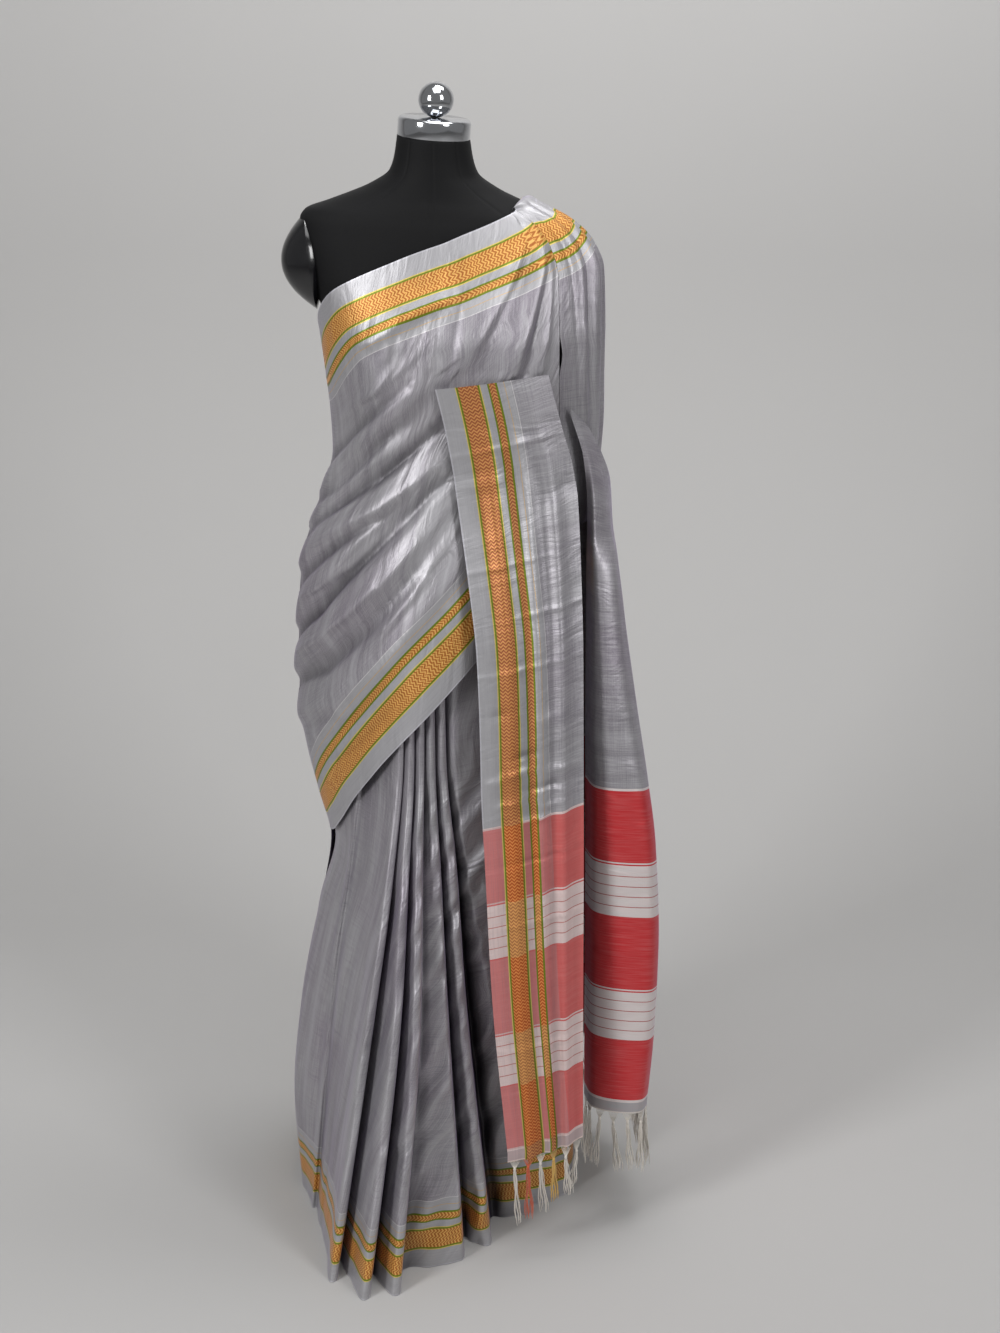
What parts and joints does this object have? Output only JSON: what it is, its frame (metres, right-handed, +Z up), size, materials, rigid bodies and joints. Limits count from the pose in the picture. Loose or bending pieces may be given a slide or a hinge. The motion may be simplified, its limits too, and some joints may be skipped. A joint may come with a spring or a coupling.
{
  "type": "saree on a dress form",
  "caption": "Full-length silk saree with pleated front, bordered edges and a fringed pallu, draped on a limbless dress form on a round base.",
  "frame": {"origin": "centre of the stand base's underside, on the floor", "axes": "+Z up; the front of the garment faces -Y; +X is the wearer's left"},
  "size_m": [0.5366, 0.5681, 1.6459],
  "materials": {
    "form_cover": "matte",
    "plate_gloss": "gloss",
    "chromed_steel": "mirror",
    "painted_steel": "satin",
    "woven_silk": "satin",
    "pallu_silk": "satin",
    "silk_fringe": "matte"
  },
  "bodies": {
    "root": {"form_torso": "form_cover", "armhole_plate_right": "plate_gloss", "armhole_plate_left": "plate_gloss", "neck_cap": "chromed_steel", "cap_ball": "chromed_steel", "stand_base": "painted_steel", "stand_pole": "painted_steel", "skirt_wrap": "woven_silk", "front_pleats": "woven_silk", "hip_wrap": "woven_silk", "chest_drape": "woven_silk", "shoulder_fall": "woven_silk", "pallu_front": "pallu_silk", "pallu_side": "pallu_silk", "pallu_back": "pallu_silk", "fringe_front": "silk_fringe", "fringe_side": "silk_fringe", "fringe_back": "silk_fringe"}
  },
  "joints": []
}
